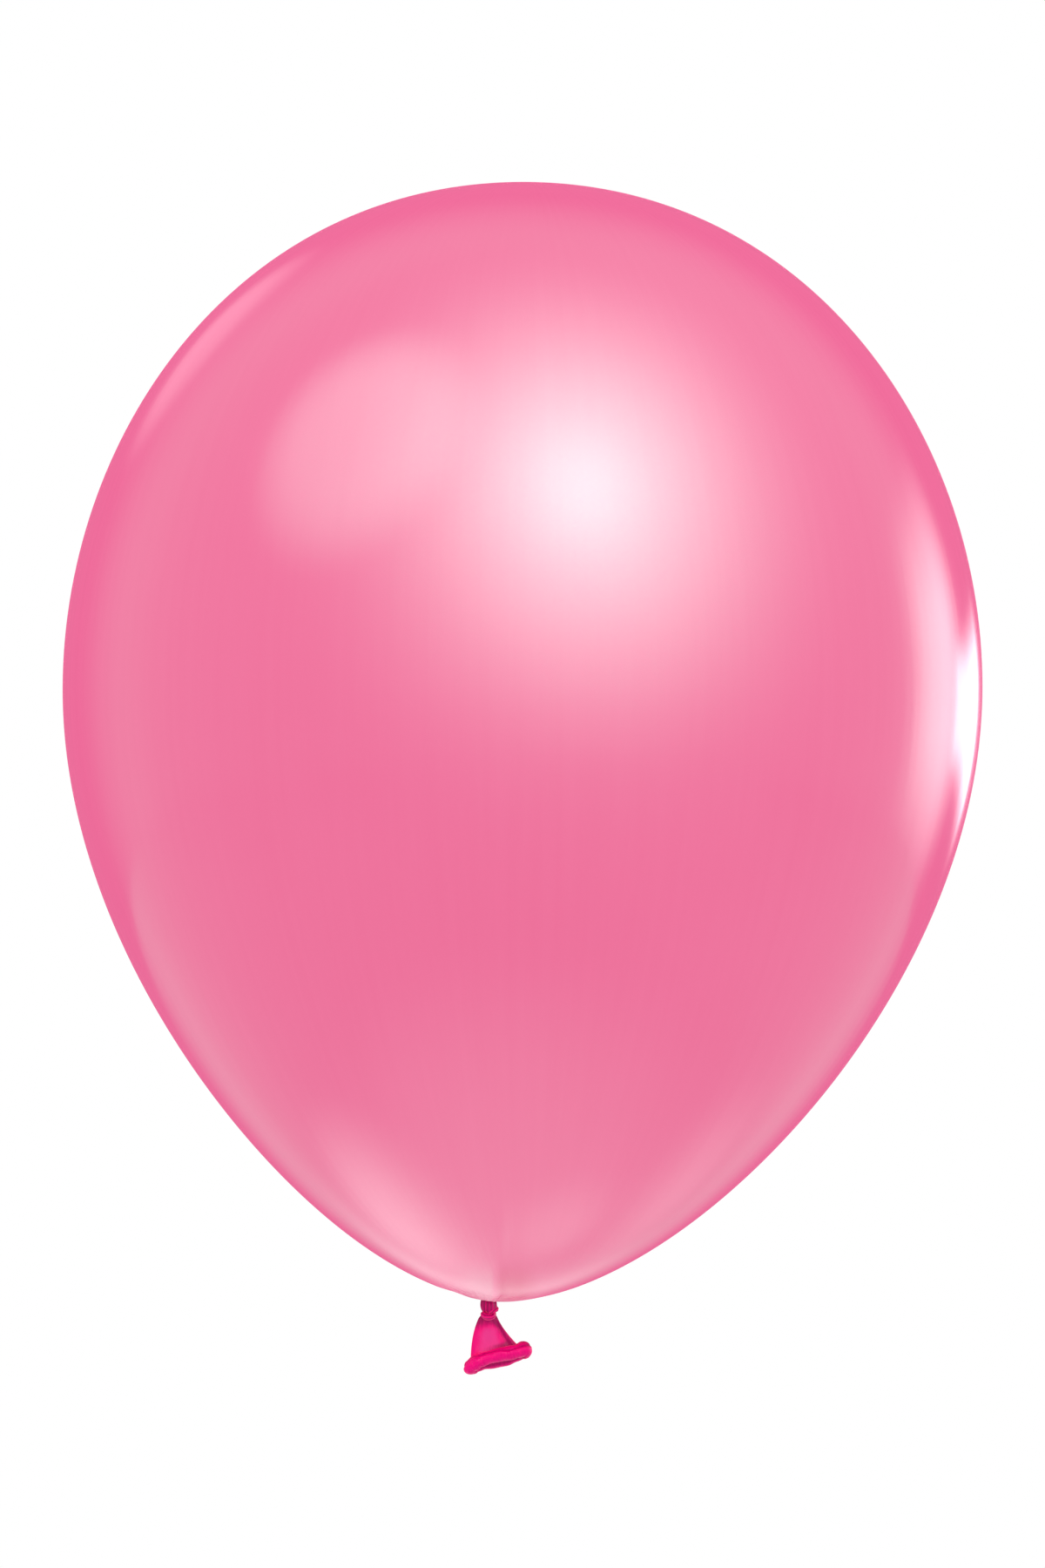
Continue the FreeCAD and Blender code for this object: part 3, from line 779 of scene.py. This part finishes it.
# Painted shade: the bead's inner side, the top of its right end, its underside, the lap line and the
# creases across it.
def rim_painted_shade(turn, share):
    inside = ease(-math.cos(turn), 0.1, 0.9)
    right_end = bell(turned_from(math.tau * share, 0), 30) * ease(math.sin(turn), -0.2, 0.8)
    below = ease(-math.sin(turn), 0.2, 1.0)
    lines = 0.50 * lap_line(turn, math.tau * share) + 0.07 * (1 - rim_wrinkle(turn, math.tau * share))
    return min(1.0, 0.55 * inside + 0.5 * right_end + 0.35 * below + lines)


rim_skin = grow_tube(56, RIM_STEPS, rim_spot, {"thin": never_thin, "painted_shade": rim_painted_shade}, closed=True)
rim = finish_piece("rim_bead", rim_skin, slack)
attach(rim, "tail")
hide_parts("mouth_rim")

# %% [markdown]
# ## What the film mirrors
#
# A glossy film just above the knot would mirror the deep pink tail as a dark patch. The picture shows no
# such patch, so the small pieces are left out of reflections. They still show, and still cast shadows.

# %% Keep the small pieces out of the film's reflections
for small_piece in (neck, knot, tail, rim):
    small_piece.visible_glossy = False
print("pieces:", ", ".join(p.name for p in (bulb, neck, knot, tail, rim)))

# %% [markdown]
# ## The studio
#
# The photograph is a plain catalogue picture on white. The world is an even white, to the camera and as
# light. A glossy skin also shows what stands round it, and that is drawn only for reflected rays: one very
# wide soft glow, high on the right, like a lamp in a large dome, which makes the pearly bloom, and a pink
# card behind the balloon, which keeps its edges pink. Both are functions of a ray's direction, so the world
# and the floor can share them.

# %% The glow and the card
GLOW_WAY = Vector((0.236, -0.73, 0.644)).normalized()
GLOW_LOBES = [(50.0, 0.18), (12.0, 0.25), (4.0, 0.75)]
GLOW_STRENGTH = 15.5
CARD_PINK = (0.82, 0.17, 0.34, 1)


def toward(finish, way, target):
    """The cosine of the angle between a ray and a direction."""
    return finish.node("ShaderNodeVectorMath", {"operation": "DOT_PRODUCT"}, {
        0: way, 1: Vector(target).normalized()}, output="Value")


def glow_light(finish, way):
    """The wide glow that a ray meets: cones of three widths, one in the other."""
    facing = finish.node("ShaderNodeMath", {"operation": "MAXIMUM"}, {
        0: toward(finish, way, GLOW_WAY), 1: 0.0})
    narrow, middle, wide = [facing ** power * share for power, share in GLOW_LOBES]
    return (narrow + middle + wide) * GLOW_STRENGTH


def behind_bulb(finish, way, low=0.40, high=0.85):
    """1 for rays that go straight back, 0 for rays that go sideways, up, down or forwards."""
    return finish.between(toward(finish, way, (0, 1, 0)), low, high)


print("glow:", len(GLOW_LOBES), "cones, towards", tuple(round(c, 2) for c in GLOW_WAY))

# %% [markdown]
# ## The floor
#
# A pale disc lies below and keeps the balloon's shadow. Far out it fades to white, so that it has no edge
# against the background, and from underneath it is clear. To reflected rays it carries on the glow and the
# card, along the ray from the bulb's middle, and holds a few soft glints: the pale patches low on the bulb.

# %% The floor as the bulb mirrors it
WHITE = (1, 1, 1, 1)
FLOOR_LEVEL = -0.30
FLOOR_RADIUS = 1.7
BULB_MIDDLE = (BULB_AXIS_X, 0.0, 0.17)
# each glint: where it lies, how far it reaches, how bright it is
FLOOR_GLINTS = [((-0.19, 0.13), 0.21, 1.9), ((-0.06, 0.40), 0.32, 0.9), ((0.08, 0.05), 0.12, 0.8),
                ((0.28, 0.20), 0.20, 0.6), ((0.0, -0.12), 0.40, 1.0)]


def floor_shine(finish, here):
    from_bulb = finish.node("ShaderNodeVectorMath", {"operation": "SUBTRACT"}, {0: here, 1: BULB_MIDDLE})
    ray = finish.node("ShaderNodeVectorMath", {"operation": "NORMALIZE"}, {0: from_bulb})
    glint = glow_light(finish, ray) + 0.9
    for (x, y), reach, strength in FLOOR_GLINTS:
        distance = finish.node("ShaderNodeVectorMath", {"operation": "DISTANCE"}, {
            0: here, 1: (x, y, FLOOR_LEVEL)}, output="Value")
        glint = finish.between(distance, 0.02, reach, strength, 0.0) + glint
    shine = finish.node("ShaderNodeEmission", None, {"Color": WHITE, "Strength": glint})
    card = finish.node("ShaderNodeEmission", None, {"Color": CARD_PINK, "Strength": 1.0})
    return finish.node("ShaderNodeMixShader", None, {
        0: behind_bulb(finish, ray, 0.62, 0.93), 1: shine, 2: card})


print("glints on the floor:", len(FLOOR_GLINTS))


# %% Floor
def floor_finish():
    finish = Finish(bpy.data.materials.new("pale_floor"))
    here = finish.place()
    away = finish.node("ShaderNodeVectorMath", {"operation": "LENGTH"}, {0: here}, output="Value")
    grain = finish.mottle(here, 40.0, 3.0)
    tone = finish.tint(grain, (0.90, 0.90, 0.905, 1), (0.93, 0.93, 0.93, 1))
    matt = finish.shader(Base_Color=tone, Roughness=0.9, Specular_IOR_Level=0.0)
    white = finish.node("ShaderNodeEmission", None, {"Color": WHITE, "Strength": 1.0})
    seen = finish.node("ShaderNodeLightPath", output="Is Camera Ray")
    mirrored = finish.node("ShaderNodeLightPath", output="Is Glossy Ray")
    faded = finish.node("ShaderNodeMixShader", None, {
        0: finish.between(away, 0.7, 1.65) * seen, 1: matt, 2: white})
    lit = finish.node("ShaderNodeMixShader", None, {0: mirrored, 1: faded, 2: floor_shine(finish, here)})
    below = finish.node("ShaderNodeNewGeometry", output="Backfacing")
    clear = finish.node("ShaderNodeBsdfTransparent")
    top = finish.node("ShaderNodeMixShader", None, {0: below, 1: lit, 2: clear})
    finish.feed(finish.tree.nodes["Material Output"].inputs["Surface"], top)
    return finish.owner


disc = bmesh.new()
bmesh.ops.create_circle(disc, cap_ends=True, segments=96, radius=FLOOR_RADIUS)
bmesh.ops.translate(disc, verts=disc.verts, vec=(0, 0, FLOOR_LEVEL))
floor = finish_piece("floor", disc, floor_finish(), closed=False)

# %% [markdown]
# ## The world
#
# The bands of light down the right edge of the bulb are strips of lamp that stand to its right and behind
# it, and the soft patch on its upper left is a lamp that stands to the left. They are drawn in the world,
# for reflected rays only, so that they add gloss and no light.

# %% World
AMBIENT = 1.0
LEFT_PATCH = ((-0.58, -0.36, 0.73), 0.88, 0.985)
TOP_WEDGE = ((-0.42, 0.80, 0.40), 0.980, 0.999)
WIDE_STRIP = ((0.79, 0.60, 0.02), 0.34, 0.36, 0.28)
BRIGHT_STRIP = ((0.50, 0.86, -0.02), 0.23, 0.10, 0.07)


def soft_panel(finish, way, target, half_wide, half_high, edge):
    """1 where a ray meets a soft-edged rectangle that hangs in a direction, and 0 elsewhere."""
    ahead = Vector(target).normalized()
    right = ahead.cross(Vector((0, 0, 1))).normalized()
    in_front = toward(finish, way, ahead)
    mask = finish.node("ShaderNodeMath", {"operation": "GREATER_THAN"}, {0: in_front, 1: 0.05})
    for axis, half in ((right, half_wide), (right.cross(ahead), half_high)):
        beside = toward(finish, way, axis) / in_front
        offset = finish.node("ShaderNodeMath", {"operation": "ABSOLUTE"}, {0: beside})
        mask = mask * finish.between(offset, half - edge, half, 1.0, 0.0)
    return mask


def soft_spot(finish, way, target, edge, core):
    """1 where a ray meets a round lamp, fading out towards its edge."""
    return finish.between(toward(finish, way, target), edge, core)


def make_world():
    world = bpy.data.worlds.new("white_studio")
    bpy.context.scene.world = world
    finish = Finish(world)
    finish.tree.nodes.clear()
    mirrored = finish.node("ShaderNodeLightPath", output="Is Glossy Ray")
    way = finish.node("ShaderNodeTexCoord", output="Generated")
    glow = glow_light(finish, way)
    patch = soft_spot(finish, way, *LEFT_PATCH) * 3.6
    strip = soft_panel(finish, way, *WIDE_STRIP) * 3.2
    bright_strip = soft_panel(finish, way, *BRIGHT_STRIP) * 3.6
    wedge = soft_spot(finish, way, *TOP_WEDGE) * 0.6
    behind = behind_bulb(finish, way)
    lamps = (glow + patch + strip + bright_strip + wedge - behind) * mirrored
    white = finish.node("ShaderNodeBackground", None, {"Color": WHITE, "Strength": lamps + AMBIENT})
    card = finish.node("ShaderNodeBackground", None, {"Color": CARD_PINK, "Strength": behind * mirrored})
    both = finish.node("ShaderNodeAddShader", None, {0: white, 1: card})
    output = finish.tree.nodes.new("ShaderNodeOutputWorld")
    finish.feed(output.inputs["Surface"], both)
    world.cycles.sampling_method = "NONE"  # as a lamp the world is even, so there is nothing to aim at
    return world


world = make_world()
print("world:", world.name)

# %% [markdown]
# ## The key lamp and the camera
#
# One weak, square softbox stands on the side of the glow and models the shape. It is a metre wide, so its
# shadow is soft. The camera is a long lens at the photograph's height, 3 m away, aimed level.

# %% Key lamp
KEY_WAY = Vector((0.35, -0.55, 0.76)).normalized()
KEY_AIM = Vector((BULB_AXIS_X, 0, 0.19))
KEY_DISTANCE = 1.6
KEY_SIZE = 1.0
KEY_STRENGTH = 0.10

lamp = bpy.data.lights.new("key", "AREA")
lamp.shape = "SQUARE"
lamp.size = KEY_SIZE
lamp.energy = KEY_STRENGTH * KEY_SIZE ** 2 * math.pi
key = bpy.data.objects.new("key", lamp)
key.location = KEY_AIM + KEY_WAY * KEY_DISTANCE
key.rotation_euler = KEY_WAY.to_track_quat("Z", "Y").to_euler()
key.visible_camera = False
bpy.context.scene.collection.objects.link(key)
print("key lamp:", round(lamp.energy, 3), "W")

# %% Camera
VIEW_CENTRE = Vector((11.1 * MM, 0, 167.6 * MM))
VIEW_HEIGHT = 511.8 * MM
VIEW_DISTANCE = 3.0
SENSOR = 36

camera_data = bpy.data.cameras.new("camera")
camera_data.type = "PERSP"
camera_data.sensor_width = SENSOR
camera_data.lens = SENSOR * VIEW_DISTANCE / VIEW_HEIGHT
camera_data.clip_end = 20
camera = bpy.data.objects.new("camera", camera_data)
camera.location = VIEW_CENTRE + Vector((0, -VIEW_DISTANCE, 0))
camera.rotation_euler = (math.radians(90), 0, 0)
bpy.context.scene.collection.objects.link(camera)
bpy.context.scene.camera = camera
bpy.context.scene.view_settings.view_transform = "Standard"
print("lens", round(camera_data.lens, 1), "mm")
